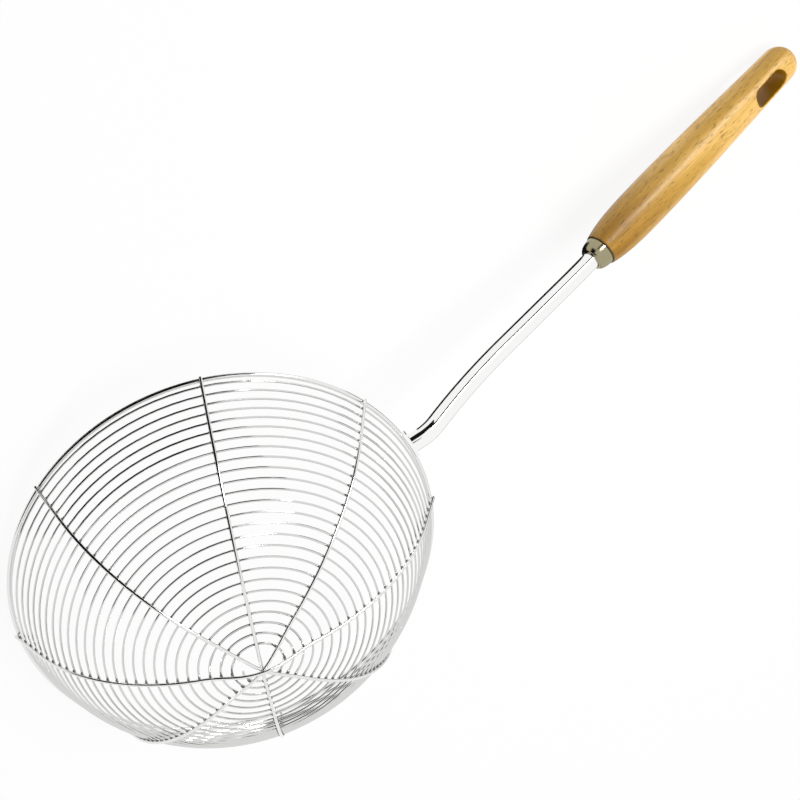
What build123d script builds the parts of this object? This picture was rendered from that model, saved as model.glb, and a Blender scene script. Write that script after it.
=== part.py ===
import os
from math import acos, cos, degrees, pi, radians, sin, sqrt, tan

from build123d import *

# Spider skimmer: a shallow wire basket on a long bent tube with a turned wooden handle.
# Lengths are millimetres and angles are degrees. The skimmer lies face down, as it is
# put away: the basket's dome is up, and the front of its rim and the end of its handle
# touch z = 0. The origin is under the middle of its length. Places are worked out in the
# dish frame, where the hoop is flat, its middle is the origin, the dome is along +Z and
# the handle runs out along +X and down. The dish frame is then tipped about Y until both
# ends touch.

# Hoop and wires
hoop_diameter = 200.0
hoop_wire = 2.2
hoop_sides = 6
coil_wire = 1.0
coil_sides = 4
rib_wire = 1.5
rib_sides = 4
weld_gap = 0.02

# Basket profile, along the middle of the coiled wire from the hoop up to the apex.
# The dome was formed by hand, so its apex sits a little off the middle of the hoop.
brim_slope = 63.35
brim_run = 20.6
wall_radius = 102.5
cone_slope = 14.5
apex_shift_x = -2.1
apex_shift_y = 3.3

# Coiled wire, wound outward from the apex
coil_turns = 26
coil_start_run = 8.1
coil_start_azimuth = 162.0
coil_end_gap = 2.4
coil_stray = 0.35
coil_samples_per_run = 6

# Rib wires, each one wire from rim to rim over the apex. A bow is how far the wire misses
# the middle of the hoop, and a level is its place in the stack at the apex.
rib_headings = [-18.7, 23.5, 69.6, 115.0]
rib_bows = [-1.1, -5.5, -7.1, 0.65]
rib_levels = [3, 2, 0, 1]
rib_overhang = 2.2
apex_cap_run = 6.0
lap_rise = 0.82

# Saddle between the hoop and the tube
saddle_length = 15.0
saddle_height = 3.2
saddle_thickness = 1.3
saddle_cradle = 0.4

# Tube, from the saddle to its end inside the handle
tube_diameter = 9.0
tube_wall = 0.8
tube_lead = 4.5
tube_drop_radius = 18.0
tube_drop_angle = 30.6
tube_return_radius = 250.0
tube_return_angle = 11.8
tube_straight = 46.0
tube_dip_radius = 350.0
tube_dip_angle = 2.3
tube_before_ferrule = 3.4
tube_in_handle = 42.0

# Ferrule over the front of the handle
ferrule_length = 6.8
ferrule_nose_diameter = 12.6
ferrule_nose_bevel = 0.8
ferrule_back_diameter = 17.0
ferrule_wall = 0.6
fit_gap = 0.05

# Turned wooden handle, from the back of the ferrule to its round end. Its outline has a
# swelling neck, a belly and a slight taper: places along its length, shares of its belly.
handle_length = 153.6
handle_belly_diameter = 23.0
handle_end_diameter = 20.0
handle_place_shares = [0.07, 0.155, 0.45]
handle_size_shares = [0.917, 1.0, 1.0]
bore_run_out = 2.0

# Hanging slot through the handle
slot_length = 22.0
slot_width = 9.5
slot_to_end = 20.0
slot_roll = 13.5
slot_edge_bevel = 0.7

tangent_step = 0.0001
straight_angle = 0.01

# Radii, and the basket's profile in its own half plane (distance from the axis, height)
hoop_radius = (hoop_diameter - hoop_wire) / 2
brim_turn = radians(brim_slope)
cone_turn = radians(cone_slope)
hoop_seat = (hoop_wire - coil_wire) / 2
brim_foot = Vector(hoop_radius + hoop_seat * sin(brim_turn), hoop_seat * cos(brim_turn))
brim_top = brim_foot + Vector(-cos(brim_turn), sin(brim_turn)) * brim_run
wall_middle = brim_top - Vector(sin(brim_turn), cos(brim_turn)) * wall_radius
cone_foot = wall_middle + Vector(sin(cone_turn), cos(cone_turn)) * wall_radius
wall_run = wall_radius * (brim_turn - cone_turn)
cone_run = cone_foot.X / cos(cone_turn)
dome_run = cone_run + wall_run + brim_run
apex_height = cone_foot.Y + cone_foot.X * tan(cone_turn)
coil_pitch = (dome_run - coil_end_gap - coil_start_run) / coil_turns


def profile(run, lift):
    """Radius and height at a distance along the profile from the apex, lifted outward."""
    if run < cone_run:
        slope = cone_turn
        place = Vector(0, apex_height) + Vector(cos(slope), -sin(slope)) * run
    elif run < cone_run + wall_run:
        slope = cone_turn + (run - cone_run) / wall_radius
        place = wall_middle + Vector(sin(slope), cos(slope)) * wall_radius
    else:
        slope = brim_turn
        place = brim_foot + Vector(cos(slope), -sin(slope)) * (run - dome_run)
    place += Vector(sin(slope), cos(slope)) * lift
    return place.X, place.Y


# The tube's and handle's axis in the dish frame: x, z and the angle down from level
def straight_on(place, length):
    x, z, down = place
    return x + length * cos(radians(down)), z - length * sin(radians(down)), down


def bent_on(place, radius, angle):
    """The place after an arc. A positive angle turns the axis further down."""
    x, z, down = place
    ahead = down + angle
    reach = radius * angle / abs(angle)
    x += reach * (sin(radians(ahead)) - sin(radians(down)))
    z -= reach * (cos(radians(down)) - cos(radians(ahead)))
    return x, z, ahead


saddle_back = hoop_diameter / 2 + saddle_thickness
tube_places = [(saddle_back + weld_gap, 0.0, 0.0)]
tube_places.append(straight_on(tube_places[-1], tube_lead))
tube_places.append(bent_on(tube_places[-1], tube_drop_radius, tube_drop_angle))
tube_places.append(bent_on(tube_places[-1], tube_return_radius, -tube_return_angle))
tube_places.append(straight_on(tube_places[-1], tube_straight))
tube_places.append(bent_on(tube_places[-1], tube_dip_radius, tube_dip_angle))
ferrule_front = straight_on(tube_places[-1], tube_before_ferrule)
tube_places.append(straight_on(ferrule_front, tube_in_handle))
handle_front = straight_on(ferrule_front, ferrule_length)


def on_dome(x, y, z):
    """A point of the basket, shifted sideways in step with its height."""
    share = z / apex_height
    return Vector(x + apex_shift_x * share, y + apex_shift_y * share, z)


def coil_point(turn):
    radius, height = profile(coil_start_run + coil_pitch * turn, 0.0)
    azimuth = radians(coil_start_azimuth + 360 * turn)
    return on_dome(radius * cos(azimuth), radius * sin(azimuth), height)


def rib_point(wire, run, lift):
    """A point of a rib wire. The run is positive toward its heading and negative past it."""
    radius, height = profile(abs(run), lift)
    aside = rib_bows[wire] * (1 - height / apex_height)
    along = sqrt(radius**2 - aside**2) * run / abs(run)
    heading = radians(rib_headings[wire])
    x = along * cos(heading) - aside * sin(heading)
    y = along * sin(heading) + aside * cos(heading)
    return on_dome(x, y, height)


def way_along(point_at, value):
    """Unit tangent of a curve given as a function, from two near points."""
    return (point_at(value + tangent_step) - point_at(value - tangent_step)).normalized()


# The tip about Y that brings the rim's front and the handle's rounded end to one level
rib_lift = (coil_wire + rib_wire) / 2 + weld_gap
rib_reach = dome_run + rib_overhang
end_radius = handle_end_diameter / 2
end_x, end_z, end_down = straight_on(handle_front, handle_length - end_radius)


def rim_low(tip):
    """The lowest height of the hoop and the rib wires' cut ends, tipped about Y."""
    lows = [-hoop_radius * sin(tip) - hoop_wire / 2]
    for wire in range(len(rib_headings)):
        for run in (rib_reach, -rib_reach):
            place = rib_point(wire, run, rib_lift)
            way = way_along(lambda at: rib_point(wire, at, rib_lift), run)
            rise = way.X * sin(tip) + way.Z * cos(tip)
            middle = place.X * sin(tip) + place.Z * cos(tip)
            lows.append(middle - rib_wire / 2 * sqrt(1 - rise**2))
    return min(lows)


def handle_low(tip):
    return end_x * sin(tip) + end_z * cos(tip) - end_radius


level_tip, steep_tip = 0.0, pi / 4
for halving in range(50):
    tip = (level_tip + steep_tip) / 2
    if handle_low(tip) < rim_low(tip):
        level_tip = tip
    else:
        steep_tip = tip
tip_sin, tip_cos = sin(tip), cos(tip)
front_reach = hoop_radius * tip_cos + hoop_wire / 2
back_reach = end_x * tip_cos - end_z * tip_sin + end_radius
dish_middle = ((front_reach - back_reach) / 2, 0, -rim_low(tip))
dish = Plane(dish_middle, x_dir=(tip_cos, 0, tip_sin), z_dir=(-tip_sin, 0, tip_cos))


def station(point_at, value):
    """A point of a curve in the dish frame and its direction, placed where the part lies."""
    way = dish.from_local_coords(way_along(point_at, value)) - dish.origin
    return dish.from_local_coords(point_at(value)), way


def tangent_arc(start, direction, end):
    """One arc that leaves the start in a direction, or a line where nothing turns."""
    chord = end - start
    turn = radians(direction.get_angle(chord))
    if turn < radians(straight_angle):
        return Line(start, end)
    side = (direction - chord * (direction.dot(chord) / chord.dot(chord))).normalized()
    rise = side * (chord.length / 2 * tan(turn / 2))
    return ThreePointArc(start, (start + end) / 2 + rise, end)


def smooth_run(stations):
    """Two arcs between each pair of stations, each a point and a direction."""
    for (start, start_way), (end, end_way) in zip(stations, stations[1:]):
        chord = end - start
        ways = start_way + end_way
        spread = 2 * (1 - start_way.dot(end_way))
        reach = chord.dot(ways)
        arm = chord.dot(chord) / (reach + sqrt(reach**2 + spread * chord.dot(chord)))
        before = start + start_way * arm
        after = end - end_way * arm
        middle = (before + after) / 2
        tangent_arc(start, start_way, middle)
        tangent_arc(middle, (after - before).normalized(), end)


os.makedirs("parts", exist_ok=True)

# Hoop: one ring of heavy wire
with BuildPart() as hoop:
    hoop_start = dish.from_local_coords((hoop_radius, 0, 0))
    with BuildSketch(Plane(hoop_start, x_dir=dish.x_dir, z_dir=dish.y_dir)):
        RegularPolygon(hoop_wire / 2, hoop_sides)
    revolve(axis=Axis(dish.origin, dish.z_dir))
hoop.part.label = "rim_hoop"
export_step(hoop.part, "parts/rim_hoop.step")


# Coil: one unbroken wire wound from the apex out to the hoop, in straight runs that all
# stray inside the true curve by the same small amount, so they lengthen with the radius
coil_stops = [0.0]
while coil_stops[-1] < coil_turns:
    radius, height = profile(coil_start_run + coil_pitch * coil_stops[-1], 0.0)
    coil_stops.append(coil_stops[-1] + acos(1 - coil_stray / radius) / pi)
coil_stops = [stop * coil_turns / coil_stops[-1] for stop in coil_stops]
with BuildPart() as coil:
    for turn in coil_stops:
        place, way = station(coil_point, turn)
        with BuildSketch(Plane(place, x_dir=dish.z_dir, z_dir=way)):
            RegularPolygon(coil_wire / 2, coil_sides)
    loft(ruled=True)
coil.part.label = "coil_wire"
export_step(coil.part, "parts/coil_wire.step")

# The least gap between one turn and the next, measured on points along the straight runs
coil_points = []
for before, after in zip(coil_stops, coil_stops[1:]):
    start, end = coil_point(before), coil_point(after)
    for sample in range(coil_samples_per_run):
        share = sample / coil_samples_per_run
        coil_points.append((before + (after - before) * share, start + (end - start) * share))
least_gap = min(
    (point - other).length - coil_wire
    for n, (turn, point) in enumerate(coil_points)
    for later, other in coil_points[n:]
    if 0.8 < later - turn < 1.2
)
coil_length = sum((coil_point(b) - coil_point(a)).length for a, b in zip(coil_stops, coil_stops[1:]))
print("coil: least gap to itself", round(least_gap, 2), "length", round(coil_length))


# Rib wires: four through wires outside the coil, lapped over each other at the apex
half_runs = [rib_reach, dome_run - brim_run, cone_run]


def rib_station(wire, run, lift):
    """A point of a rib wire and its direction away from the heading end."""
    return station(lambda past: rib_point(wire, -past, lift), -run)


def rib_cap(wire):
    """The two ends of the small arc over the apex, raised by the wires underneath."""
    lift = rib_lift + rib_levels[wire] * lap_rise
    return [rib_station(wire, apex_cap_run, lift), rib_station(wire, -apex_cap_run, lift)]


def rib_sweep(stations, radius, mode):
    """A wire along stations that lie in one plane, with two corners in that plane's normal."""
    with BuildLine() as path:
        smooth_run(stations)
    start_way = path.line % 0
    sideways = start_way.cross(path.line @ 1 - path.line @ 0)
    with BuildSketch(Plane(path.line @ 0, x_dir=sideways, z_dir=start_way)) as section:
        RegularPolygon(radius, rib_sides)
    sweep(section.sketch, path=path.line, mode=mode)


for wire in range(len(rib_headings)):
    out_runs = [rib_station(wire, run, rib_lift) for run in half_runs]
    back_runs = [rib_station(wire, -run, rib_lift) for run in reversed(half_runs)]
    with BuildPart() as rib:
        rib_sweep(out_runs + rib_cap(wire) + back_runs, rib_wire / 2, Mode.ADD)
        if rib_levels[wire] > 0:
            below = rib_levels.index(rib_levels[wire] - 1)
            rib_sweep(rib_cap(below), rib_wire / 2 + weld_gap, Mode.SUBTRACT)
    rib.part.label = f"rib_wire_{wire + 1}"
    export_step(rib.part, f"parts/rib_wire_{wire + 1}.step")

# Saddle: a short strap that cradles the hoop, with rounded outer corners
saddle_half_turn = saddle_length / 2 / hoop_radius
saddle_out = Vector(cos(saddle_half_turn), -sin(saddle_half_turn))
saddle_start = dish.from_local_coords(saddle_out * hoop_radius)
saddle_out = saddle_start - dish.origin
saddle_depth = saddle_cradle + saddle_thickness
saddle_middle = hoop_wire / 2 + saddle_thickness - saddle_depth / 2
with BuildPart() as saddle:
    with BuildSketch(Plane(saddle_start, x_dir=saddle_out, z_dir=dish.z_dir.cross(saddle_out))):
        with Locations((saddle_middle, 0)):
            Rectangle(saddle_depth, saddle_height)
        Circle(hoop_wire / 2 + weld_gap, mode=Mode.SUBTRACT)
    revolve(axis=Axis(dish.origin, dish.z_dir), revolution_arc=2 * degrees(saddle_half_turn))
    upright_edges = saddle.edges().filter_by(Axis(dish.origin, dish.z_dir))
    fillet(upright_edges.sort_by_distance(dish.origin)[-2:], saddle_thickness / 2)
saddle.part.label = "weld_saddle"
export_step(saddle.part, "parts/weld_saddle.step")


# Tube: level where it meets the saddle, then down, eased back and straight into the handle
def tube_station(place):
    x, z, down = place
    ahead = dish.x_dir * cos(radians(down)) - dish.z_dir * sin(radians(down))
    return dish.from_local_coords((x, 0, z)), ahead


with BuildPart() as tube:
    with BuildLine() as tube_path:
        smooth_run([tube_station(place) for place in tube_places])
    with BuildSketch(Plane(tube_path.line @ 0, x_dir=dish.z_dir, z_dir=tube_path.line % 0)):
        Circle(tube_diameter / 2)
        Circle(tube_diameter / 2 - tube_wall, mode=Mode.SUBTRACT)
    sweep()
tube.part.label = "stem_tube"
export_step(tube.part, "parts/stem_tube.step")

# The grip plane: X runs along the handle from the ferrule's front, Y is square to it, upward
grip_start, grip_way = tube_station(ferrule_front)
grip = Plane(grip_start, x_dir=grip_way, z_dir=-dish.y_dir)
grip_axis = Axis(grip.origin, grip.x_dir)
bore_radius = tube_diameter / 2 + fit_gap


def ferrule_shape(inset, hole_radius):
    """The ferrule's half section, drawn in by an even inset at its front and outside."""
    Polyline(
        (inset, hole_radius),
        (inset, ferrule_nose_diameter / 2 - inset),
        (ferrule_length, ferrule_back_diameter / 2 - inset),
        (ferrule_length, hole_radius),
        close=True,
    )


# Ferrule: a thin flared cap with the tube's hole in its front
with BuildPart() as ferrule:
    with BuildSketch(grip) as cap_section:
        with BuildLine():
            ferrule_shape(0.0, bore_radius)
        make_face()
        nose_corner = cap_section.vertices().group_by(Axis.X)[0].sort_by(Axis.Y)[-1]
        chamfer(nose_corner, ferrule_nose_bevel)
    revolve(axis=grip_axis)
    with BuildSketch(grip):
        with BuildLine():
            ferrule_shape(ferrule_wall, 0.0)
        make_face()
    revolve(axis=grip_axis, mode=Mode.SUBTRACT)
ferrule.part.label = "ferrule"
export_step(ferrule.part, "parts/ferrule.step")


# Handle: a tenon inside the ferrule, a shoulder against it, a full belly and a round end
handle_end = ferrule_length + handle_length
handle_outline = [(ferrule_length, ferrule_back_diameter / 2)]
for place_share, size_share in zip(handle_place_shares, handle_size_shares):
    place = ferrule_length + handle_length * place_share
    handle_outline.append((place, handle_belly_diameter / 2 * size_share))
handle_outline.append((handle_end - end_radius, end_radius))
slot_up = grip.y_dir * cos(radians(slot_roll)) + grip.z_dir * sin(radians(slot_roll))
slot_middle = grip.from_local_coords((handle_end - slot_to_end, 0, 0))
bore_length = tube_in_handle + bore_run_out
with BuildPart() as handle:
    with BuildSketch(grip):
        with BuildLine():
            Polyline(*handle_outline)
            CenterArc((handle_end - end_radius, 0), end_radius, 0, 90)
            Polyline((handle_end, 0), (ferrule_length, 0), handle_outline[0])
        make_face()
        with BuildLine():
            ferrule_shape(ferrule_wall + fit_gap, 0.0)
        make_face()
    revolve(axis=grip_axis)
    with BuildSketch(Plane(grip.origin, z_dir=grip.x_dir)):
        Circle(bore_radius)
    extrude(amount=bore_length, mode=Mode.SUBTRACT)
    with BuildSketch(Plane(slot_middle, x_dir=grip.x_dir, z_dir=slot_up)):
        SlotOverall(slot_length, slot_width)
    extrude(amount=handle_belly_diameter, both=True, mode=Mode.SUBTRACT)
    rim_edges = [edge for edge in handle.edges(Select.LAST) if edge.geom_type != GeomType.LINE]
    chamfer(rim_edges, slot_edge_bevel)
handle.part.label = "handle"
export_step(handle.part, "parts/handle.step")

print("tip", round(degrees(tip), 2), "dish middle", [round(v, 2) for v in dish.origin])
print("basket depth", round(apex_height, 1), "coil pitch", round(coil_pitch, 3))
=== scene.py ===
# %% [markdown]
# A spider skimmer
#
# A round basket of coiled steel wire on a bent steel tube, with a turned beech handle.
# It lies face down on a pale table: the basket's dome is up, and only the front of the
# rim and the end of the handle touch the table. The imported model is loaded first, and
# every piece below is made in its frame, in metres, so nothing has to be fitted later.

# %% Load the frame
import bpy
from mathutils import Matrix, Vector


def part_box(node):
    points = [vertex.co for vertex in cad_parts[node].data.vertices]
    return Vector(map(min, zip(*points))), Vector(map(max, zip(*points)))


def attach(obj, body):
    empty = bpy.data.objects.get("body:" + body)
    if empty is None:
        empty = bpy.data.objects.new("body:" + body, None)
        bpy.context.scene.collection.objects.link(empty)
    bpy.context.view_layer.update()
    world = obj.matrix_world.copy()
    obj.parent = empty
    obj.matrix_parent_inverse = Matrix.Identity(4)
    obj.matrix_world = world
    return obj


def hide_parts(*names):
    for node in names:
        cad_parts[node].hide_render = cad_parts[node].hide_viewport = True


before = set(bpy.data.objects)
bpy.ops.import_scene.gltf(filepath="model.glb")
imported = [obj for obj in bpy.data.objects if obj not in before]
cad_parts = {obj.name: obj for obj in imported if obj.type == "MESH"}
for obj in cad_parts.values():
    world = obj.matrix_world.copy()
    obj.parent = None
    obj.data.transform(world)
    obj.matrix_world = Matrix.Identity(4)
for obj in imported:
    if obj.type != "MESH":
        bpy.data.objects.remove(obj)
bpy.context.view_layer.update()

from math import atan2, cos, pi, radians, sin, sqrt, tan

import bmesh
import bpy
from mathutils import Matrix, Vector
from mathutils.geometry import interpolate_bezier

# %% [markdown]
# Sizes
#
# The wires, the tube and the handle are long and thin, so small errors would show as
# gaps. Each main size is written once, in millimetres, and places are worked out from
# these. A size that only one piece needs stands in that piece's own cell. Each rib has
# a heading in degrees, a shift aside at the rim and a level in the pile at the apex.

# %% Sizes in millimetres, angles in degrees
mm = 0.001
hoop_diameter = 200.0
hoop_wire = 2.2
coil_wire = 1.0
rib_wire = 1.5
weld_gap = 0.02
brim_slope = radians(63.35)
brim_run = 20.6
wall_radius = 102.5
cone_slope = radians(14.5)
apex_shift = (-2.1, 3.3)
coil_turns = 26
coil_start_run = 8.1
coil_start_azimuth = radians(162.0)
coil_end_gap = 2.4
rib_headings = [-18.7, 23.5, 69.6, 115.0]
rib_bows = [-1.1, -5.5, -7.1, 0.65]
rib_levels = [3, 2, 0, 1]
rib_overhang = 0.4
apex_cap_run = 6.0
lap_rise = 0.82
saddle_thickness = 1.3
tube_diameter = 9.0
tube_wall = 0.8
tube_into_handle = 42.0
ferrule_length = 6.8
ferrule_nose_diameter = 12.6
ferrule_back_diameter = 15.9
ferrule_wall = 0.6
fit_gap = 0.05
shoulder_diameter = 17.0
handle_length = 153.6
handle_belly_diameter = 23.0
handle_end_diameter = 18.8
slot_length = 24.0
slot_width = 9.5
slot_to_end = 26.8
print("basket", hoop_diameter, "mm across, handle", handle_length, "mm long")

# %% [markdown]
# The dish frame
#
# The basket is easiest to describe with its hoop flat and its middle at the origin.
# One matrix then tips that frame, moves it to where the skimmer lies and turns
# millimetres into metres, so each piece is built flat and placed in one step. Turning
# each finished object would do the same, but every object has to sit at the origin.

# %% The dish frame
dish_middle = Vector((-143.785, 0.0, 23.689))
dish_tip = radians(13.2032)
dish = (
    Matrix.Scale(mm, 4)
    @ Matrix.Translation(dish_middle)
    @ Matrix.Rotation(-dish_tip, 4, "Y")
)
hoop_radius = (hoop_diameter - hoop_wire) / 2
low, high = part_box("rim_hoop")
print("hoop middle, CAD", (low + high) / 2, "here", dish.translation)

# %% [markdown]
# The basket's profile
#
# A hand-formed dome: a straight brim, a round wall and a shallow cone up to the apex.
# The profile is followed by its run from the apex, so that the coiled wire can keep an
# even pitch along the surface, as a winding machine lays it. A formula gives every
# point, where a hand-drawn curve would need many points to be as smooth.

# %% The basket's profile
hoop_seat = (hoop_wire - coil_wire) / 2
brim_foot = Vector((hoop_radius + hoop_seat * sin(brim_slope), hoop_seat * cos(brim_slope)))
brim_top = brim_foot + Vector((-cos(brim_slope), sin(brim_slope))) * brim_run
wall_middle = brim_top - Vector((sin(brim_slope), cos(brim_slope))) * wall_radius
cone_foot = wall_middle + Vector((sin(cone_slope), cos(cone_slope))) * wall_radius
wall_run = wall_radius * (brim_slope - cone_slope)
cone_run = cone_foot.x / cos(cone_slope)
dome_run = cone_run + wall_run + brim_run
apex_height = cone_foot.y + cone_foot.x * tan(cone_slope)


def profile(run, lift):
    """Radius and height at a run along the profile from the apex, lifted outward."""
    if run < cone_run:
        slope = cone_slope
        place = Vector((0, apex_height)) + Vector((cos(slope), -sin(slope))) * run
    elif run < cone_run + wall_run:
        slope = cone_slope + (run - cone_run) / wall_radius
        place = wall_middle + Vector((sin(slope), cos(slope))) * wall_radius
    else:
        slope = brim_slope
        place = brim_foot + Vector((cos(slope), -sin(slope))) * (run - dome_run)
    return place + Vector((sin(slope), cos(slope))) * lift


def on_dome(x, y, z):
    """A point of the dome, shifted sideways in step with its height."""
    share = z / apex_height
    return Vector((x + apex_shift[0] * share, y + apex_shift[1] * share, z))


print("dome height", round(apex_height, 1), "mm, run", round(dome_run, 1), "mm")

# %% [markdown]
# Finishing a piece
#
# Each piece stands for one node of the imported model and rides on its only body. Smooth
# shading by angle keeps a cut end sharp on a wire that is otherwise round. A wire starts
# as a beveled curve, because that needs only a path and a thickness, and becomes a mesh
# at once, as every finished piece here is one.

# %% Helpers for pieces
collection = bpy.context.scene.collection
smooth_below = radians(40)


def add_object(name, data):
    """An object for a mesh, a curve, a lamp or a camera, in the scene's collection."""
    added = bpy.data.objects.new(name, data)
    collection.objects.link(added)
    return added


def mesh_from(shape, name):
    """The mesh of a bmesh, which is freed."""
    mesh = bpy.data.meshes.new(name)
    shape.to_mesh(mesh)
    shape.free()
    return mesh


def add_piece(name, mesh, slot, *nodes):
    """An object for a finished mesh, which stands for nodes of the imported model."""
    piece = add_object(name, mesh)
    mesh.shade_smooth()
    mesh.set_sharp_from_angle(angle=smooth_below)
    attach(piece, "root")
    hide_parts(*nodes)
    print(name, len(mesh.vertices), "vertices")
    return piece


def baked(source):
    """The mesh of an object with its modifiers applied. The object itself is removed."""
    bpy.context.view_layer.update()
    graph = bpy.context.evaluated_depsgraph_get()
    mesh = bpy.data.meshes.new_from_object(source.evaluated_get(graph))
    bpy.data.objects.remove(source)
    return mesh


def wire_mesh(name, points, thickness, rounding, capped=True):
    """A round wire along points in the dish frame, as a mesh in its place."""
    curve = bpy.data.curves.new(name, "CURVE")
    curve.dimensions = "3D"
    curve.bevel_depth = thickness / 2 * mm
    curve.bevel_resolution = rounding
    curve.use_fill_caps = capped
    spline = curve.splines.new("POLY")
    spline.points.add(len(points) - 1)
    for spot, point in zip(spline.points, points):
        spot.co = (*(dish @ point), 1)
    return baked(add_object(name, curve))


# %% [markdown]
# Hoop
#
# The rim is one ring of the heaviest wire, closed by a butt weld that is ground flush.
# A torus or a curve would do as well. Here a small circle is spun once about the axis,
# which is the plainest way to a closed ring, and the spin merges its two ends.

# %% Hoop
ring_sides = 16
ring_steps = 192
ring = bmesh.new()
bmesh.ops.create_circle(ring, segments=ring_sides, radius=hoop_wire / 2)
bmesh.ops.rotate(ring, matrix=Matrix.Rotation(pi / 2, 3, "X"), verts=ring.verts)
bmesh.ops.translate(ring, vec=(hoop_radius, 0, 0), verts=ring.verts)
bmesh.ops.spin(
    ring,
    geom=ring.verts[:] + ring.edges[:],
    cent=(0, 0, 0),
    axis=(0, 0, 1),
    angle=2 * pi,
    steps=ring_steps,
    use_merge=True,
)
bmesh.ops.transform(ring, matrix=dish, verts=ring.verts)
bmesh.ops.recalc_face_normals(ring, faces=ring.faces)
hoop = add_piece("rim_ring", mesh_from(ring, "rim_ring"), "steel", "rim_hoop")

# %% [markdown]
# Coil
#
# One wire winds from the apex out to the hoop in 26 turns. It is a curve with a round
# bevel: the path is a formula, and the bevel gives an even section with no twist. A
# Screw modifier could wind it too, but not along a dome whose slope changes.

# %% Coil
coil_pitch = (dome_run - coil_end_gap - coil_start_run) / coil_turns
coil_steps_per_turn = 90
coil_rounding = 2


def coil_point(turn):
    """A point of the coil, by the turns wound from its start."""
    radius, height = profile(coil_start_run + coil_pitch * turn, 0.0)
    azimuth = coil_start_azimuth + 2 * pi * turn
    return on_dome(radius * cos(azimuth), radius * sin(azimuth), height)


coil_steps = coil_turns * coil_steps_per_turn
coil_points = [coil_point(n / coil_steps_per_turn) for n in range(coil_steps + 1)]
coil_mesh = wire_mesh("coil", coil_points, coil_wire, coil_rounding)
coil = add_piece("coil", coil_mesh, "steel", "coil_wire")
print("coil pitch", round(coil_pitch, 3), "mm")

# %% [markdown]
# Ribs
#
# Four wires run from rim to rim over the coil and are welded to it at each crossing.
# At the apex they are pressed over each other, so each one rises by its level in the
# pile, and a short round bend replaces the cone's sharp tip. Projecting a straight wire
# onto the basket would sink it between the turns, so the path is worked out instead.

# %% Ribs
rib_lift = (coil_wire + rib_wire) / 2 + weld_gap
rib_reach = dome_run + rib_overhang
rib_step = 1.5
rib_rounding = 3
cap_steps = 10
cap_pull = 2 / 3


def rib_point(rib, run):
    """A point of a rib. The run is positive toward its heading and negative past it."""
    near = min(max((cone_run - abs(run)) / (cone_run - apex_cap_run), 0.0), 1.0)
    rise = rib_levels[rib] * lap_rise * near**2 * (3 - 2 * near)
    radius, height = profile(abs(run), rib_lift + rise)
    aside = rib_bows[rib] * (1 - height / apex_height)
    along = sqrt(radius**2 - aside**2) * run / abs(run)
    heading = radians(rib_headings[rib])
    x = along * cos(heading) - aside * sin(heading)
    y = along * sin(heading) + aside * cos(heading)
    return on_dome(x, y, height)


def rib_line(rib):
    """The points of a rib: up one side, over the apex in a round bend, down the other."""
    steps = round((rib_reach - apex_cap_run) / rib_step)
    runs = [rib_reach + (apex_cap_run - rib_reach) * n / steps for n in range(steps + 1)]
    outward = [rib_point(rib, run) for run in runs]
    inward = [rib_point(rib, -run) for run in reversed(runs)]
    start, end = outward[-1], inward[0]
    crown = (start + end) / 2 + Vector((0, 0, (end - start).length / 2 * tan(cone_slope)))
    near_start, near_end = start.lerp(crown, cap_pull), end.lerp(crown, cap_pull)
    cap = interpolate_bezier(start, near_start, near_end, end, cap_steps)
    return outward[:-1] + [Vector(point) for point in cap] + inward[1:]


print("ribs lie", round(rib_lift, 2), "mm over the coil's line")

# %% [markdown]
# Weld beads
#
# Each crossing is a spot weld, which leaves a short dark bead on the coil beside the
# rib. The crossing is found by steps: the rib gives an azimuth, the coil's winding gives
# the run at that azimuth, and the rib at that run gives a better azimuth. The beads are
# small stretched spheres in the rib's own mesh, with a second material, because two
# hundred objects of their own would be hard to keep in order.

# %% Weld beads
bead_reach = 1.35
bead_thickness = 0.62
bead_toward_rib = 0.3
bead_rounding = 2
bead_material = 1
crossing_steps = 4
short_turn = 0.001


def crossing(rib, side, count):
    """The turn of the coil, counted from its start, at which a rib crosses it."""
    turn = count
    for _ in range(crossing_steps):
        point = rib_point(rib, side * (coil_start_run + coil_pitch * turn))
        share = point.z / apex_height
        azimuth = atan2(point.y - apex_shift[1] * share, point.x - apex_shift[0] * share)
        turn = count + ((azimuth - coil_start_azimuth) / (2 * pi)) % 1
    return turn


def bead_place(rib, side, turn):
    """A bead's matrix: its place between coil and rib, its turn and its stretch."""
    run = coil_start_run + coil_pitch * turn
    middle = coil_point(turn).lerp(rib_point(rib, side * run), bead_toward_rib)
    ahead = coil_point(turn + short_turn) - coil_point(turn - short_turn)
    place = dish @ Matrix.Translation(middle)
    place = place @ ahead.to_track_quat("X", "Z").to_matrix().to_4x4()
    return place @ Matrix.Diagonal((bead_reach, bead_thickness, bead_thickness, 1))


def add_beads(rib, mesh):
    """Adds a bead at each crossing to a rib's mesh, in its second material."""
    shape = bmesh.new()
    shape.from_mesh(mesh)
    for side in (1, -1):
        turns = [crossing(rib, side, count) for count in range(coil_turns)]
        for turn in turns:
            bead = bmesh.ops.create_icosphere(
                shape,
                subdivisions=bead_rounding,
                radius=1.0,
                matrix=bead_place(rib, side, turn),
            )
            for face in {face for vert in bead["verts"] for face in vert.link_faces}:
                face.material_index = bead_material
    shape.to_mesh(mesh)
    shape.free()


print(2 * coil_turns, "beads on each rib")

# %% [markdown]
# Making the ribs
#
# The four ribs are alike but for their numbers, so a loop makes each as the real ones
# are made: the wire first, then its welds. The wire's mesh exists before the beads,
# because a curve can't hold them.

# %% Make the ribs
ribs = []
for rib in range(len(rib_headings)):
    rib_mesh = wire_mesh(f"rib_{rib + 1}", rib_line(rib), rib_wire, rib_rounding)
    add_beads(rib, rib_mesh)
    ribs.append(add_piece(f"rib_{rib + 1}", rib_mesh, "steel", f"rib_wire_{rib + 1}"))

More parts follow.
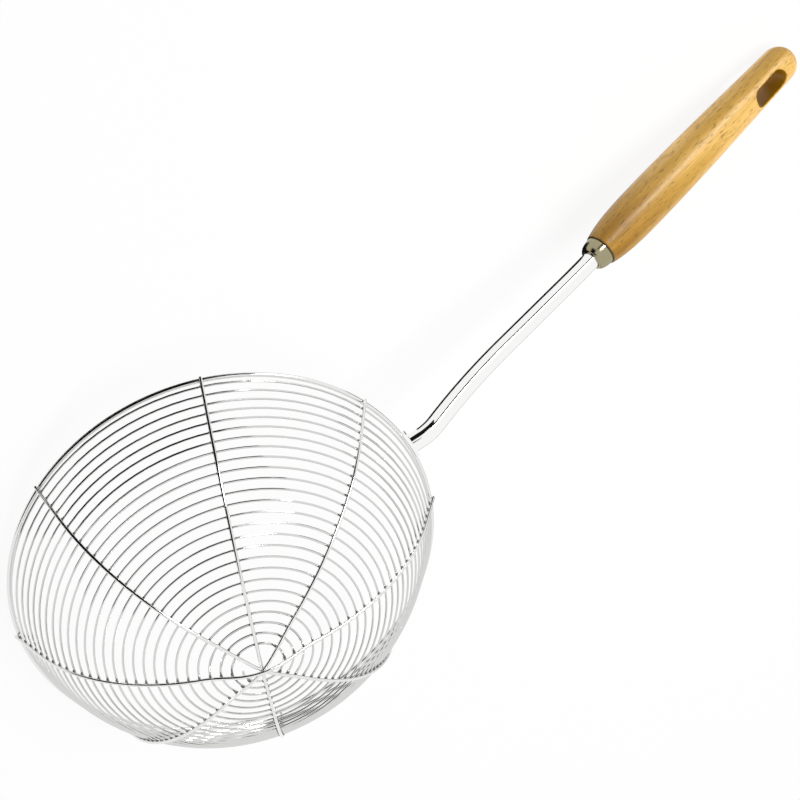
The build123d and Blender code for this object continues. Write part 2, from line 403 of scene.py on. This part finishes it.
# %% [markdown]
# Tube
#
# The stem is a thin-walled tube. Its axis is straight runs and arcs, as a tube bender
# leaves it, and its last run goes into the handle. Each pair below is a straight run's
# length with no turn, or an arc's radius with its turn. The outside is a beveled curve,
# like the wires. Solidify then gives it the wall and the open ends in one step, which a
# second, smaller curve inside it would not join.

# %% Tube
tube_start = hoop_diameter / 2 + saddle_thickness + weld_gap
tube_bends = [(4.5, 0.0), (18.0, 30.6), (250.0, -11.8), (46.0, 0.0), (350.0, 2.3), (3.4, 0.0)]
bend_step = radians(1.2)
tube_rounding = 22


def tube_run(place, length_or_radius, turn, points):
    """Follows a straight run, or an arc where there is a turn, and returns its end."""
    x, z, down = place
    if turn == 0:
        x += length_or_radius * cos(down)
        z -= length_or_radius * sin(down)
        points.append(Vector((x, 0, z)))
        return x, z, down
    steps = max(2, round(abs(turn) / bend_step))
    reach = length_or_radius * turn / abs(turn)
    for n in range(1, steps + 1):
        ahead = down + turn * n / steps
        across = reach * (sin(ahead) - sin(down))
        drop = reach * (cos(down) - cos(ahead))
        points.append(Vector((x + across, 0, z - drop)))
    return x + across, z - drop, ahead


tube_points = [Vector((tube_start, 0, 0))]
tube_place = (tube_start, 0.0, 0.0)
for size, turn in tube_bends:
    tube_place = tube_run(tube_place, size, radians(turn), tube_points)
ferrule_front = tube_place
tube_run(tube_place, tube_into_handle, 0.0, tube_points)

tube_skin = wire_mesh("tube", tube_points, tube_diameter, tube_rounding, capped=False)
tube_shell = add_object("tube_wall", tube_skin)
wall = tube_shell.modifiers.new("wall", "SOLIDIFY")
wall.thickness = tube_wall * mm
wall.offset = -1
tube = add_piece("tube", baked(tube_shell), "steel", "stem_tube")
print("ferrule front", [round(value, 3) for value in ferrule_front])

# %% [markdown]
# Turned parts
#
# The ferrule and the handle are round about the tube's axis, so both are outlines spun
# once about X in the grip frame, whose origin is the ferrule's front. A lathe works in
# the same way, and the outline keeps every size in view.

# %% The grip frame and a spin helper
turning_steps = 96
merge_distance = 0.001
front_x, front_z, grip_down = ferrule_front
grip = dish @ Matrix.Translation((front_x, 0, front_z)) @ Matrix.Rotation(grip_down, 4, "Y")


def turned(outline, closed):
    """Spins an outline of (along, radius) points about the grip's axis, in its place."""
    shape = bmesh.new()
    spots = [shape.verts.new((along, 0, radius)) for along, radius in outline]
    for before, after in zip(spots, spots[1:]):
        shape.edges.new((before, after))
    if closed:
        shape.edges.new((spots[-1], spots[0]))
    bmesh.ops.spin(
        shape,
        geom=shape.verts[:] + shape.edges[:],
        cent=(0, 0, 0),
        axis=(1, 0, 0),
        angle=2 * pi,
        steps=turning_steps,
        use_merge=True,
    )
    bmesh.ops.remove_doubles(shape, verts=shape.verts, dist=merge_distance)
    bmesh.ops.recalc_face_normals(shape, faces=shape.faces)
    bmesh.ops.transform(shape, matrix=grip, verts=shape.verts)
    return shape


print("grip starts at", grip.translation)

# %% [markdown]
# Ferrule
#
# A thin pressed cap hides the joint of tube and wood. It swells from a small flat nose
# in a dome, and its back edge is a little narrower than the wood's shoulder behind it.
# The dome is one Bezier stretch of the outline, which four points shape. Straight flares
# with bevels would show as rings in the polished metal.

# %% Ferrule
nose_inset = 0.7
nose_swell = 0.4
dome_start = 0.2
dome_swell = 3.6
dome_steps = 16
lip_round = 0.25
nose_radius = ferrule_nose_diameter / 2
back_radius = ferrule_back_diameter / 2
hole_radius = tube_diameter / 2 + fit_gap
pocket_radius = nose_radius - 2 * ferrule_wall
dome = interpolate_bezier(
    Vector((0.0, nose_radius - nose_inset)),
    Vector((dome_start, nose_radius + nose_swell)),
    Vector((ferrule_length - dome_swell, back_radius)),
    Vector((ferrule_length - lip_round, back_radius)),
    dome_steps,
)
cap_outline = [(lip_round, hole_radius), (0.0, hole_radius + lip_round)]
cap_outline += [tuple(point) for point in dome]
cap_outline += [(ferrule_length, back_radius - lip_round)]
cap_outline += [(ferrule_length, back_radius - ferrule_wall)]
cap_outline += [(ferrule_wall, pocket_radius), (ferrule_wall, hole_radius)]
ferrule_mesh = mesh_from(turned(cap_outline, closed=True), "cap")
ferrule = add_piece("cap", ferrule_mesh, "steel", "ferrule")

# %% [markdown]
# Handle
#
# Turned beech: a swelling neck, a long belly, a slight taper and a round end. The neck
# and the taper are Bezier stretches with level tangents at the belly, so they meet
# without a line, and the end is a quarter circle. The hidden plug in the ferrule and the
# blind bore for the tube belong to the same outline, which starts and ends on the axis.

# %% Handle's outline
neck_length = 45.0
neck_rise = radians(14.0)
neck_reach = 11.3
belly_reach = 24.0
taper_reach = 30.0
taper_fall = radians(1.4)
neck_steps = 20
taper_steps = 24
end_steps = 16
bore_spare = 2.0
end_radius = handle_end_diameter / 2
handle_end = ferrule_length + handle_length
bore_end = tube_into_handle + bore_spare
plug_start = ferrule_wall + fit_gap
plug_radius = pocket_radius - fit_gap
shoulder = Vector((ferrule_length, shoulder_diameter / 2))
belly = Vector((ferrule_length + neck_length, handle_belly_diameter / 2))
tail = Vector((handle_end - end_radius, end_radius))
neck = interpolate_bezier(
    shoulder,
    shoulder + Vector((cos(neck_rise), sin(neck_rise))) * neck_reach,
    belly - Vector((belly_reach, 0)),
    belly,
    neck_steps,
)
taper = interpolate_bezier(
    belly,
    belly + Vector((taper_reach, 0)),
    tail - Vector((cos(taper_fall), -sin(taper_fall))) * taper_reach,
    tail,
    taper_steps,
)


def round_end(middle, radius, steps):
    """A quarter circle from above its middle down to the axis, without its first point."""
    points = []
    for n in range(1, steps + 1):
        angle = radians(90 - 90 * n / steps)
        points.append((middle + radius * cos(angle), radius * sin(angle)))
    return points


grip_outline = [(bore_end, 0.0), (bore_end, hole_radius), (plug_start, hole_radius)]
grip_outline += [(plug_start, plug_radius), (ferrule_length, plug_radius)]
grip_outline += [tuple(point) for point in neck] + [tuple(point) for point in taper[1:]]
grip_outline += round_end(handle_end - end_radius, end_radius, end_steps)
stock_mesh = mesh_from(turned(grip_outline, closed=False), "handle_stock")
stock = add_object("handle_stock", stock_mesh)
print("handle outline has", len(grip_outline), "points")

# %% [markdown]
# Hanging slot
#
# The slot goes right through near the handle's end, with round ends as a router leaves
# them. Its cutter is the convex hull of four circles, which is quicker to shape than a
# box and two cylinders joined.

# %% Slot cutter
slot_segments = 40
slot_reach = slot_length / 2 - slot_width / 2
slot_depth = handle_belly_diameter
slot_place = Matrix.Translation((handle_end - slot_to_end, 0, 0))
cutter = bmesh.new()
for side in (-slot_reach, slot_reach):
    for depth in (-slot_depth, slot_depth):
        place = slot_place @ Matrix.Translation((side, 0, depth))
        bmesh.ops.create_circle(
            cutter,
            segments=slot_segments,
            radius=slot_width / 2,
            matrix=place,
        )
bmesh.ops.convex_hull(cutter, input=cutter.verts)
bmesh.ops.recalc_face_normals(cutter, faces=cutter.faces)
bmesh.ops.transform(cutter, matrix=grip, verts=cutter.verts)
cutter = add_object("slot_cutter", mesh_from(cutter, "slot_cutter"))
print("slot from the end", slot_to_end, "mm to its middle")

# %% [markdown]
# Cutting and sanding
#
# A Boolean cuts the slot. The real edges are rounded by sanding, and a bevel can't be
# trusted on such a curved edge, so a fine voxel remesh makes the surface even and a few
# smoothing passes round the edges. The passes are few enough to keep the outline.

# %% Cut the slot and sand the edges
voxel = 0.5
sanding_factor = 0.5
sanding_passes = 10
cut = stock.modifiers.new("slot", "BOOLEAN")
cut.object = cutter
cut.operation = "DIFFERENCE"
cut.solver = "EXACT"
voxels = stock.modifiers.new("voxels", "REMESH")
voxels.mode = "VOXEL"
voxels.voxel_size = voxel * mm
sanding = stock.modifiers.new("sanding", "SMOOTH")
sanding.factor = sanding_factor
sanding.iterations = sanding_passes
handle_mesh = baked(stock)
bpy.data.objects.remove(cutter)
handle = add_piece("grip", handle_mesh, "beech", "handle")

# %% [markdown]
# Shader helpers
#
# A node tree is a chain of small nodes, and most of the work is filling their sockets.
# A socket takes either a plain value or another node's output, so one helper does both,
# and the others are built from it.

# %% Shader helpers
def fill(tree, node, inputs):
    """Fills input sockets, by name or number, with another node's output or a plain value."""
    for name, value in inputs.items():
        if isinstance(value, bpy.types.NodeSocket):
            tree.links.new(value, node.inputs[name])
        else:
            node.inputs[name].default_value = value


def new_node(tree, kind, inputs, **settings):
    """A node with its settings and filled inputs."""
    node = tree.nodes.new(kind)
    for name, value in settings.items():
        setattr(node, name, value)
    fill(tree, node, inputs)
    return node


def new_group(name, inputs, outputs):
    """A node group from pairs of socket name and type, with its input and output node."""
    group = bpy.data.node_groups.new(name, "ShaderNodeTree")
    for title, kind in inputs:
        group.interface.new_socket(title, in_out="INPUT", socket_type=kind)
    for title, kind in outputs:
        group.interface.new_socket(title, in_out="OUTPUT", socket_type=kind)
    return group, group.nodes.new("NodeGroupInput"), group.nodes.new("NodeGroupOutput")


def new_material(name):
    """A material with its node tree and its Principled BSDF."""
    material = bpy.data.materials.new(name)
    material.use_nodes = True
    return material, material.node_tree, material.node_tree.nodes["Principled BSDF"]


def object_place(tree):
    """The place on the piece, in metres, which patterns follow."""
    return new_node(tree, "ShaderNodeTexCoord", {}).outputs["Object"]


def noise(tree, vector, scale, detail):
    """The values of a noise texture over a vector."""
    inputs = {"Vector": vector, "Scale": scale, "Detail": detail}
    return new_node(tree, "ShaderNodeTexNoise", inputs).outputs["Fac"]


def ranged(tree, source, low_in, high_in, low_out, high_out):
    """A smooth map of one range of values to another."""
    inputs = {
        "Value": source,
        "From Min": low_in,
        "From Max": high_in,
        "To Min": low_out,
        "To Max": high_out,
    }
    node = new_node(tree, "ShaderNodeMapRange", inputs, interpolation_type="SMOOTHSTEP")
    return node.outputs["Result"]


def computed(tree, operation, *values):
    """The result of a Math node on plain numbers or other nodes' outputs."""
    node = new_node(tree, "ShaderNodeMath", dict(enumerate(values)), operation=operation)
    return node.outputs["Value"]


def mixed(tree, mask, first, second, blend="MIX"):
    """A colour that turns from the first to the second with a mask."""
    inputs = {"Factor": mask, "A": first, "B": second}
    node = new_node(tree, "ShaderNodeMix", inputs, data_type="RGBA", blend_type=blend)
    return node.outputs["Result"]


def bumped(tree, height, strength, distance):
    """The normal of a bump. The distance is in metres."""
    inputs = {"Height": height, "Strength": strength, "Distance": distance}
    return new_node(tree, "ShaderNodeBump", inputs).outputs["Normal"]


# %% [markdown]
# Steel
#
# Drawn wire, pressed cap and polished tube are the same kind of stainless steel, each
# with its own polish and brightness. One group gives the faint unevenness of a polished
# surface: a mask of soft patches shifts the roughness, and fine marks feed the bump. A
# picture of steel would need unwrapping and would repeat.

# %% Polish group
patch_detail = 3.0
patch_low = 0.35
patch_high = 0.65
mark_detail = 2.0
polish, polish_in, polish_out = new_group(
    "polish",
    [
        ("Vector", "NodeSocketVector"),
        ("Least Roughness", "NodeSocketFloat"),
        ("Most Roughness", "NodeSocketFloat"),
        ("Patch Scale", "NodeSocketFloat"),
        ("Mark Scale", "NodeSocketFloat"),
    ],
    [("Roughness", "NodeSocketFloat"), ("Marks", "NodeSocketFloat")],
)
given = polish_in.outputs
patches = noise(polish, given["Vector"], given["Patch Scale"], patch_detail)
inputs = {
    "Factor": ranged(polish, patches, patch_low, patch_high, 0.0, 1.0),
    "A": given["Least Roughness"],
    "B": given["Most Roughness"],
}
blend = new_node(polish, "ShaderNodeMix", inputs, data_type="FLOAT").outputs
marks = noise(polish, given["Vector"], given["Mark Scale"], mark_detail)
fill(polish, polish_out, {"Roughness": blend["Result"], "Marks": marks})
print("polish group", len(polish.nodes), "nodes")

# %% [markdown]
# The coil, the ribs, the hoop and the tube are one steel with base colours of their own,
# which paint in light and shade: painted shade makes the fine coil the darker wire, the
# ribs and the hoop are lighter, and painted light makes the tube nearly a mirror. The
# ferrule is a duller, warmer metal. The beads are a dark steel. The colour and the
# roughness tell these apart, so one function makes all five.

# %% Steels
patch_scale = 60.0
mark_scale = 2500.0
mark_height = 0.00005


def steel(name, colour, least, most, bump):
    """A polished steel with its own colour, range of roughness and depth of marks."""
    material, tree, shader = new_material(name)
    inputs = {
        "Vector": object_place(tree),
        "Least Roughness": least,
        "Most Roughness": most,
        "Patch Scale": patch_scale,
        "Mark Scale": mark_scale,
    }
    surface = new_node(tree, "ShaderNodeGroup", inputs, node_tree=polish).outputs
    look = {
        "Base Color": (*colour, 1),
        "Metallic": 1.0,
        "Roughness": surface["Roughness"],
        "Normal": bumped(tree, surface["Marks"], bump, mark_height),
    }
    fill(tree, shader, look)
    print(name, "roughness", least, "to", most)
    return material


# Painted shade and light: the same steel is darker on the coil and nearly white on the tube.
coil_steel = steel("coil_steel", colour=(0.66, 0.66, 0.65), least=0.06, most=0.14, bump=0.2)
rib_steel = steel("rib_steel", colour=(0.8, 0.8, 0.79), least=0.06, most=0.14, bump=0.2)
tube_steel = steel("tube_steel", colour=(0.92, 0.92, 0.91), least=0.04, most=0.1, bump=0.04)
ferrule_steel = steel("ferrule_steel", colour=(0.36, 0.32, 0.2), least=0.08, most=0.2, bump=0.3)
weld_steel = steel("weld_steel", colour=(0.2, 0.2, 0.19), least=0.25, most=0.4, bump=0.4)

# %% [markdown]
# A piece's first material covers it, and a second one shows where faces ask for it. The
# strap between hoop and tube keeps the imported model's mesh and only gets the tube's
# steel.

# %% Give the pieces their steel
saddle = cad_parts["weld_saddle"]
saddle.data.materials.clear()
finishes = [
    (coil, coil_steel),
    (hoop, rib_steel),
    (tube, tube_steel),
    (saddle, tube_steel),
    (ferrule, ferrule_steel),
]
finishes += [(piece, rib_steel) for piece in ribs]
finishes += [(piece, weld_steel) for piece in ribs]
for piece, material in finishes:
    piece.data.materials.append(material)
    print(piece.name, "has", material.name)

# %% [markdown]
# Beech
#
# Oiled beech is honey-coloured with soft bands along the grain and many short dark
# flecks, which are the ends of its rays. Three masks of noise, drawn out along the
# grain, mix its three colours: broad bands, fine fibre and short flecks. The Wave
# texture draws rings of wood too, but they are too even for beech and have no flecks.

# %% Beech group
pale_roughness = 0.32
deep_roughness = 0.45
beech, beech_in, beech_out = new_group(
    "beech_grain",
    [
        ("Vector", "NodeSocketVector"),
        ("Pale", "NodeSocketColor"),
        ("Deep", "NodeSocketColor"),
        ("Fleck", "NodeSocketColor"),
    ],
    [
        ("Color", "NodeSocketColor"),
        ("Roughness", "NodeSocketFloat"),
        ("Relief", "NodeSocketFloat"),
    ],
)
wood_given = beech_in.outputs


def grain_mask(stretch, detail, starts, full, strength):
    """A mask of noise with so many counts per metre along the grain and across it."""
    inputs = {0: wood_given["Vector"], 1: stretch}
    drawn = new_node(beech, "ShaderNodeVectorMath", inputs, operation="MULTIPLY")
    grain = noise(beech, drawn.outputs["Vector"], 1.0, detail)
    return ranged(beech, grain, starts, full, 0.0, strength)


bands = grain_mask((9.0, 150.0, 150.0), detail=3.0, starts=0.36, full=0.64, strength=0.85)
fibre = grain_mask((60.0, 1500.0, 1500.0), detail=3.0, starts=0.35, full=0.7, strength=0.4)
fleck = grain_mask((210.0, 1300.0, 1300.0), detail=2.0, starts=0.55, full=0.7, strength=0.65)
toned = mixed(beech, bands, wood_given["Pale"], wood_given["Deep"])
toned = mixed(beech, fibre, toned, wood_given["Deep"])
toned = mixed(beech, fleck, toned, wood_given["Fleck"])
beech_look = {
    "Color": toned,
    "Roughness": ranged(beech, bands, 0.0, 1.0, pale_roughness, deep_roughness),
    "Relief": fibre,
}
fill(beech, beech_out, beech_look)
print("beech group", len(beech.nodes), "nodes")

# %% [markdown]
# The grain runs along the handle, which lies askew in the frame. A Mapping node turns
# the pattern into the handle's direction and puts its origin in the slot's middle, so
# that the masks below can measure from there.

# %% Grain along the handle
oiled, oiled_tree, oiled_shader = new_material("oiled_beech")
grain_turn = dish_tip - grip_down
slot_middle = grip @ Vector((handle_end - slot_to_end, 0, 0))
inputs = {
    "Vector": object_place(oiled_tree),
    "Rotation": (0.0, grain_turn, 0.0),
    "Location": -(Matrix.Rotation(grain_turn, 3, "Y") @ slot_middle),
}
from_slot = new_node(oiled_tree, "ShaderNodeMapping", inputs).outputs["Vector"]
inputs = {
    "Vector": from_slot,
    "Pale": (0.97, 0.6, 0.17, 1),
    "Deep": (0.58, 0.31, 0.03, 1),
    "Fleck": (0.22, 0.11, 0.01, 1),
}
grain = new_node(oiled_tree, "ShaderNodeGroup", inputs, node_tree=beech).outputs
print("slot middle", slot_middle)

# %% [markdown]
# The wood isn't one colour, and three masks paint shade into it: painted shade that
# deepens toward the ferrule, a dark ring of painted shade where it meets the metal, and
# painted shade on the slot's walls, which makes them darker than the outside. Two masks
# fade along the handle. The slot's own mask fades with the distance from the line that
# joins the middles of its round ends. Painting them by hand would need a picture.

# %% Painted shade along the handle and round the slot
neck_shade_reach = 75.0
joint_shade_start = 0.2
joint_shade_end = 0.9
slot_shade_start = 0.2
slot_shade_end = 0.7
ferrule_back = (ferrule_length - handle_end + slot_to_end) * mm
apart = new_node(oiled_tree, "ShaderNodeSeparateXYZ", {"Vector": from_slot}).outputs


def fading(distance, start, end):
    """A mask that is 1 up to a start and 0 past an end."""
    return ranged(oiled_tree, distance, start, end, 1.0, 0.0)


# Painted shade: the wood's colour darkens toward the ferrule.
neck_shade = fading(apart["X"], ferrule_back, ferrule_back + neck_shade_reach * mm)
# Painted shade: a dark ring on the wood where it meets the ferrule's back.
joint_shade = fading(apart["X"], ferrule_back + joint_shade_start * mm, ferrule_back + joint_shade_end * mm)
# Painted shade: the slot's walls are darker than the outside of the handle.
past_line = computed(oiled_tree, "ABSOLUTE", apart["X"])
past_line = computed(oiled_tree, "SUBTRACT", past_line, slot_reach * mm)
past_line = computed(oiled_tree, "MAXIMUM", past_line, 0.0)
inputs = {"X": past_line, "Y": apart["Y"]}
off_line = new_node(oiled_tree, "ShaderNodeCombineXYZ", inputs).outputs["Vector"]
off_line = new_node(oiled_tree, "ShaderNodeVectorMath", {0: off_line}, operation="LENGTH")
slot_side = slot_width / 2
slot_wall_shade = fading(off_line.outputs["Value"], (slot_side + slot_shade_start) * mm, (slot_side + slot_shade_end) * mm)
print("ferrule's back in the grain's frame", round(ferrule_back / mm, 2), "mm")

# %% [markdown]
# The masks now lay their painted shade over the grain, one after another. The shade toward
# the ferrule keeps the wood's bands, so its tint is multiplied in, while the shade on the
# slot's walls and the dark ring at the ferrule cover what lies under them. The fibre also
# lifts the surface a little through a Bump node. Real relief as fine as that would need
# millions of faces.

# %% Beech material
# Colours of painted shade: the tint toward the ferrule, the slot's walls and the ring at the
# ferrule.
neck_shade_tint = (0.52, 0.43, 0.07, 1)
slot_wall_shade_colour = (0.45, 0.23, 0.001, 1)
joint_shade_colour = (0.07, 0.03, 0.005, 1)
relief_strength = 0.25
relief_height = 0.0001
wood = mixed(oiled_tree, neck_shade, grain["Color"], neck_shade_tint, blend="MULTIPLY")
wood = mixed(oiled_tree, slot_wall_shade, wood, slot_wall_shade_colour)
wood = mixed(oiled_tree, joint_shade, wood, joint_shade_colour)
oiled_look = {
    "Base Color": wood,
    "Roughness": grain["Roughness"],
    "Normal": bumped(oiled_tree, grain["Relief"], relief_strength, relief_height),
}
fill(oiled_tree, oiled_shader, oiled_look)
handle.data.materials.append(oiled)
print("oiled beech", len(oiled_tree.nodes), "nodes")

# %% [markdown]
# Table
#
# The photograph's ground is plain white. More light would make it so, but would wash out
# the skimmer too. The table's paint mixes in a plain white glow instead, for the rays
# that look at it: from the camera, from gloss and through glass. The small share that is
# left to the real paint keeps a faint shadow. The stage's sizes are in metres.

# %% Table
floor_half = 6.0
floor_gap = 0.0003
shadow_share = 0.1
table = bmesh.new()
bmesh.ops.create_grid(table, x_segments=1, y_segments=1, size=floor_half)
bmesh.ops.translate(table, vec=(0, 0, -floor_gap), verts=table.verts)
table = add_object("table", mesh_from(table, "table"))


def white_to_rays(tree):
    """1 for camera, glossy and transmission rays, which see the plain white ground."""
    rays = new_node(tree, "ShaderNodeLightPath", {}).outputs
    sight = computed(tree, "MAXIMUM", rays["Is Camera Ray"], rays["Is Glossy Ray"])
    return computed(tree, "MAXIMUM", sight, rays["Is Transmission Ray"])


def matt_paint(name, shade):
    """A matt paint with no gloss at all, white, grey or black by its shade."""
    material, tree, shader = new_material(name)
    look = {
        "Base Color": (shade, shade, shade, 1),
        "Roughness": 1.0,
        "Specular IOR Level": 0.0,
    }
    fill(tree, shader, look)
    print(name, "shade", shade)
    return material


paper = matt_paint("white_table", shade=0.95)
paper_tree = paper.node_tree
glow = new_node(paper_tree, "ShaderNodeEmission", {"Strength": 1.0})
inputs = {
    "Fac": computed(paper_tree, "MULTIPLY", white_to_rays(paper_tree), 1 - shadow_share),
    1: paper_tree.nodes["Principled BSDF"].outputs["BSDF"],
    2: glow.outputs["Emission"],
}
both = new_node(paper_tree, "ShaderNodeMixShader", inputs).outputs["Shader"]
fill(paper_tree, paper_tree.nodes["Material Output"], {"Surface": both})
table.data.materials.append(paper)

# %% [markdown]
# Cards
#
# Polished steel only shows its form when something dark is reflected in it. A studio
# stands black and grey cards beside such a thing, outside the picture. Here only
# reflections see them, so they cost no light. Darker steel would lose the bright lines
# that lie next to the dark ones.

# %% Cards
black = matt_paint("black_card", shade=0.01)
grey = matt_paint("grey_card", shade=0.5)
half_metre = 0.5


def studio_card(name, paint, middle, facing, width, height):
    """A card that only reflections see: a square metre, scaled and turned toward a point."""
    card = bmesh.new()
    bmesh.ops.create_grid(card, x_segments=1, y_segments=1, size=half_metre)
    bmesh.ops.scale(card, vec=(width, height, 1), verts=card.verts)
    turn = (Vector(facing) - Vector(middle)).to_track_quat("Z", "Y").to_matrix().to_4x4()
    bmesh.ops.transform(card, matrix=Matrix.Translation(middle) @ turn, verts=card.verts)
    piece = add_object(name, mesh_from(card, name))
    piece.data.materials.append(paint)
    piece.visible_camera = False
    piece.visible_diffuse = False
    piece.visible_shadow = False


# Each row: name, paint, middle, the point that it faces, width and height, in metres.
# Three of the cards lie just over the table and face up. The black one under the tube is a painted
# shadow: it stands for the table's shade beneath the tube, which the tube's underside reflects.
cards = [
    ("card_basket", black, (-0.255, 0.145, 0.157), (-0.255, 0.0, 0.157), 0.33, 0.3),
    ("card_low", black, (-0.06, 0.145, 0.075), (-0.06, 0.0, 0.075), 0.06, 0.136),
    ("card_ground", black, (-0.23, 0.13, 0.0006), (-0.23, 0.13, 1.0), 0.36, 0.04),
    ("card_tube", black, (0.27, 0.33, 0.24), (0.27, 0.0, 0.05), 0.4, 0.09),
    ("painted_shadow_card", black, (0.03, -0.001, 0.0005), (0.03, -0.001, 1.0), 0.12, 0.058),
    ("card_far", grey, (0.06, -0.12, 0.0005), (0.06, -0.12, 1.0), 0.2, 0.1),
    ("card_cap", black, (0.0, 0.16, 0.07), (0.07, 0.0, 0.03), 0.1, 0.12),
]
for card in cards:
    studio_card(*card)
print(len(cards), "cards")

# %% [markdown]
# Light
#
# The world lights the skimmer softly from all sides, and is white where it is seen or
# reflected. One level for both would either dim the background or wash out the wood, so
# the rays that see it get a level of their own.

# %% World
room_level = 0.42
seen_level = 1.0
world = bpy.data.worlds.new("studio")
bpy.context.scene.world = world
world.use_nodes = True
sky_tree = world.node_tree
inputs = {"Value": white_to_rays(sky_tree), "To Min": room_level, "To Max": seen_level}
level = new_node(sky_tree, "ShaderNodeMapRange", inputs).outputs["Result"]
sky_look = {"Color": (1, 1, 1, 1), "Strength": level}
fill(sky_tree, sky_tree.nodes["Background"], sky_look)
print("world level", room_level)

# %% [markdown]
# A softbox overhead gives the table its faint shadow. A sun lamp would make the shadow
# hard. A narrow strip lamp to the side lights gloss alone, and draws the bright streak
# along the oiled handle and the highlight on the ferrule. One lamp for both jobs would
# put that streak where the shadow wants the lamp.

# %% Lamps
def area_lamp(name, place, aim, long_way, length, width, watts, shines):
    """A lamp turned toward a point. One that shines lights gloss alone, any other all but gloss."""
    lamp = bpy.data.lights.new(name, "AREA")
    lamp.shape = "RECTANGLE"
    lamp.size = length
    lamp.size_y = width
    lamp.energy = watts
    holder = add_object(name, lamp)
    back = (Vector(place) - Vector(aim)).normalized()
    across = (Vector(long_way) - back * back.dot(Vector(long_way))).normalized()
    facing = Matrix((across, back.cross(across), back)).transposed().to_4x4()
    holder.matrix_world = Matrix.Translation(place) @ facing
    holder.visible_glossy = shines
    holder.visible_diffuse = not shines
    print(name, watts, "W")


area_lamp(
    "softbox",
    place=(0.3, -0.05, 1.3),
    aim=(0.05, 0.0, 0.03),
    long_way=(1, 0, 0),
    length=1.0,
    width=0.7,
    watts=12.5,
    shines=False,
)
area_lamp(
    "strip_lamp",
    place=(0.54, 0.54, 0.67),
    aim=(0.16, 0.0, 0.03),
    long_way=(0.36, -0.16, -0.18),
    length=0.7,
    width=0.14,
    watts=5.2,
    shines=True,
)

# %% [markdown]
# Camera
#
# The camera's place and turn were solved from the rim's ellipse, the wires' crossings
# and the tube, so the skimmer lands on the photograph's frame. It is rolled, which a
# Track To constraint can't give, so its matrix is built straight from its forward and
# right directions.

# %% Camera
camera_place = Vector((-0.16174, 0.42514, 0.59801))
camera_forward = Vector((0.177113, -0.579805, -0.795272)).normalized()
camera_right = Vector((0.744046, -0.450045, 0.493816)).normalized()
focal_length = 68.82
sensor_width = 36.0
nearest = 0.05
camera_back = -camera_forward
camera_up = camera_back.cross(camera_right)
turn = Matrix((camera_right, camera_up, camera_back)).transposed().to_4x4()
lens = bpy.data.cameras.new("camera")
lens.lens = focal_length
lens.sensor_width = sensor_width
lens.clip_start = nearest
camera = add_object("camera", lens)
camera.matrix_world = Matrix.Translation(camera_place) @ turn
bpy.context.scene.camera = camera
bpy.context.scene.view_settings.view_transform = "Standard"
print("camera at", camera_place, "lens", lens.lens)
